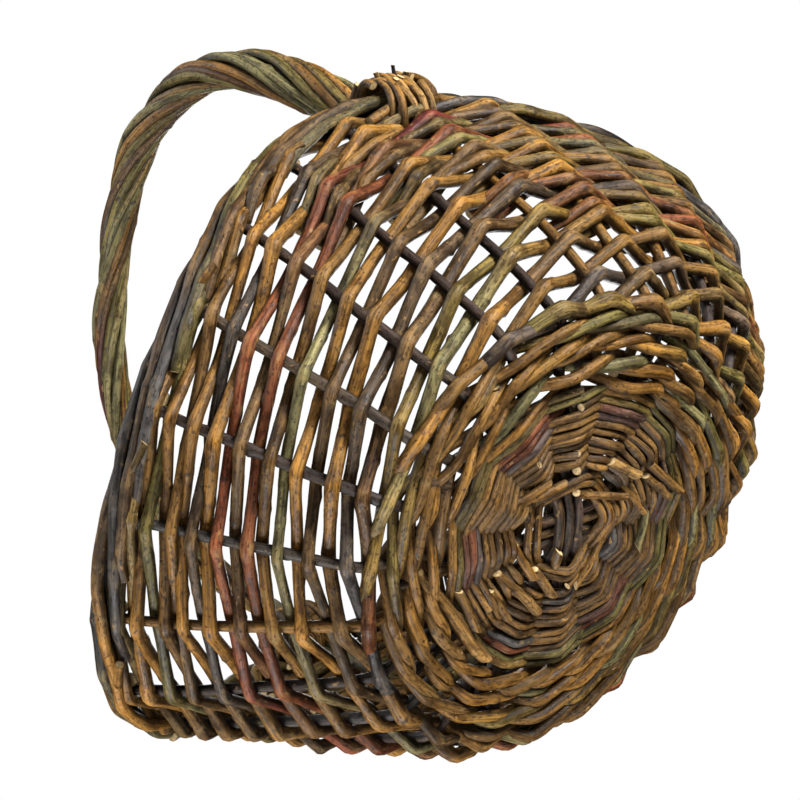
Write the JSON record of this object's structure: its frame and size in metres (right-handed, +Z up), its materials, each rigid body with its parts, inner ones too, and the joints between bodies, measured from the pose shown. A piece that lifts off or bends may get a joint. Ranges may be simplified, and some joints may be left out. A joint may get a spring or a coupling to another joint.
{
  "type": "market basket",
  "caption": "Woven willow market basket with a rising oval rim and one fixed roped handle over the top.",
  "frame": {"origin": "centre of the base on the surface the basket stands on", "axes": "+Z up out of the open top, +X towards one foot of the handle, +Y towards one long low side of the rim"},
  "size_m": [0.3754, 0.471, 0.3763],
  "materials": {
    "slath_bark": "matt dark brown willow bark",
    "base_weave_bark": "matt brown willow bark with cut ends",
    "upsett_bark": "satin golden brown willow bark",
    "stake_bark": "matt dark brown willow bark",
    "siding_bark": "satin willow bark, mixed golden, olive, red-brown and slate",
    "border_bark": "satin slate and golden willow bark",
    "handle_bark": "satin olive and golden willow bark",
    "binding_bark": "matt golden brown willow bark"
  },
  "bodies": {
    "root": {"base_stick_long_01": "slath_bark", "base_stick_cross_01": "slath_bark", "base_stick_long_02": "slath_bark", "base_stick_cross_02": "slath_bark", "base_stick_long_03": "slath_bark", "base_stick_cross_03": "slath_bark", "base_weave": "base_weave_bark", "upsett_wale": "upsett_bark", "stake_01": "stake_bark", "stake_02": "stake_bark", "stake_03": "stake_bark", "stake_04": "stake_bark", "stake_05": "stake_bark", "stake_06": "stake_bark", "stake_07": "stake_bark", "stake_08": "stake_bark", "stake_09": "stake_bark", "stake_10": "stake_bark", "stake_11": "stake_bark", "stake_12": "stake_bark", "stake_13": "stake_bark", "stake_14": "stake_bark", "stake_15": "stake_bark", "stake_16": "stake_bark", "stake_17": "stake_bark", "stake_18": "stake_bark", "stake_19": "stake_bark", "stake_20": "stake_bark", "stake_21": "stake_bark", "stake_22": "stake_bark", "stake_23": "stake_bark", "stake_24": "stake_bark", "siding_rod_01": "siding_bark", "siding_rod_02": "siding_bark", "siding_rod_03": "siding_bark", "siding_rod_04": "siding_bark", "siding_rod_05": "siding_bark", "siding_rod_06": "siding_bark", "siding_rod_07": "siding_bark", "siding_rod_08": "siding_bark", "siding_rod_09": "siding_bark", "siding_rod_10": "siding_bark", "siding_rod_11": "siding_bark", "siding_rod_12": "siding_bark", "siding_rod_13": "siding_bark", "siding_rod_14": "siding_bark", "siding_rod_15": "siding_bark", "siding_rod_16": "siding_bark", "siding_rod_17": "siding_bark", "siding_rod_18": "siding_bark", "siding_rod_19": "siding_bark", "siding_rod_20": "siding_bark", "siding_rod_21": "siding_bark", "siding_rod_22": "siding_bark", "siding_rod_23": "siding_bark", "siding_rod_24": "siding_bark", "border": "border_bark", "handle_rope": "handle_bark", "binding_right": "binding_bark", "binding_left": "binding_bark"}
  },
  "joints": []
}
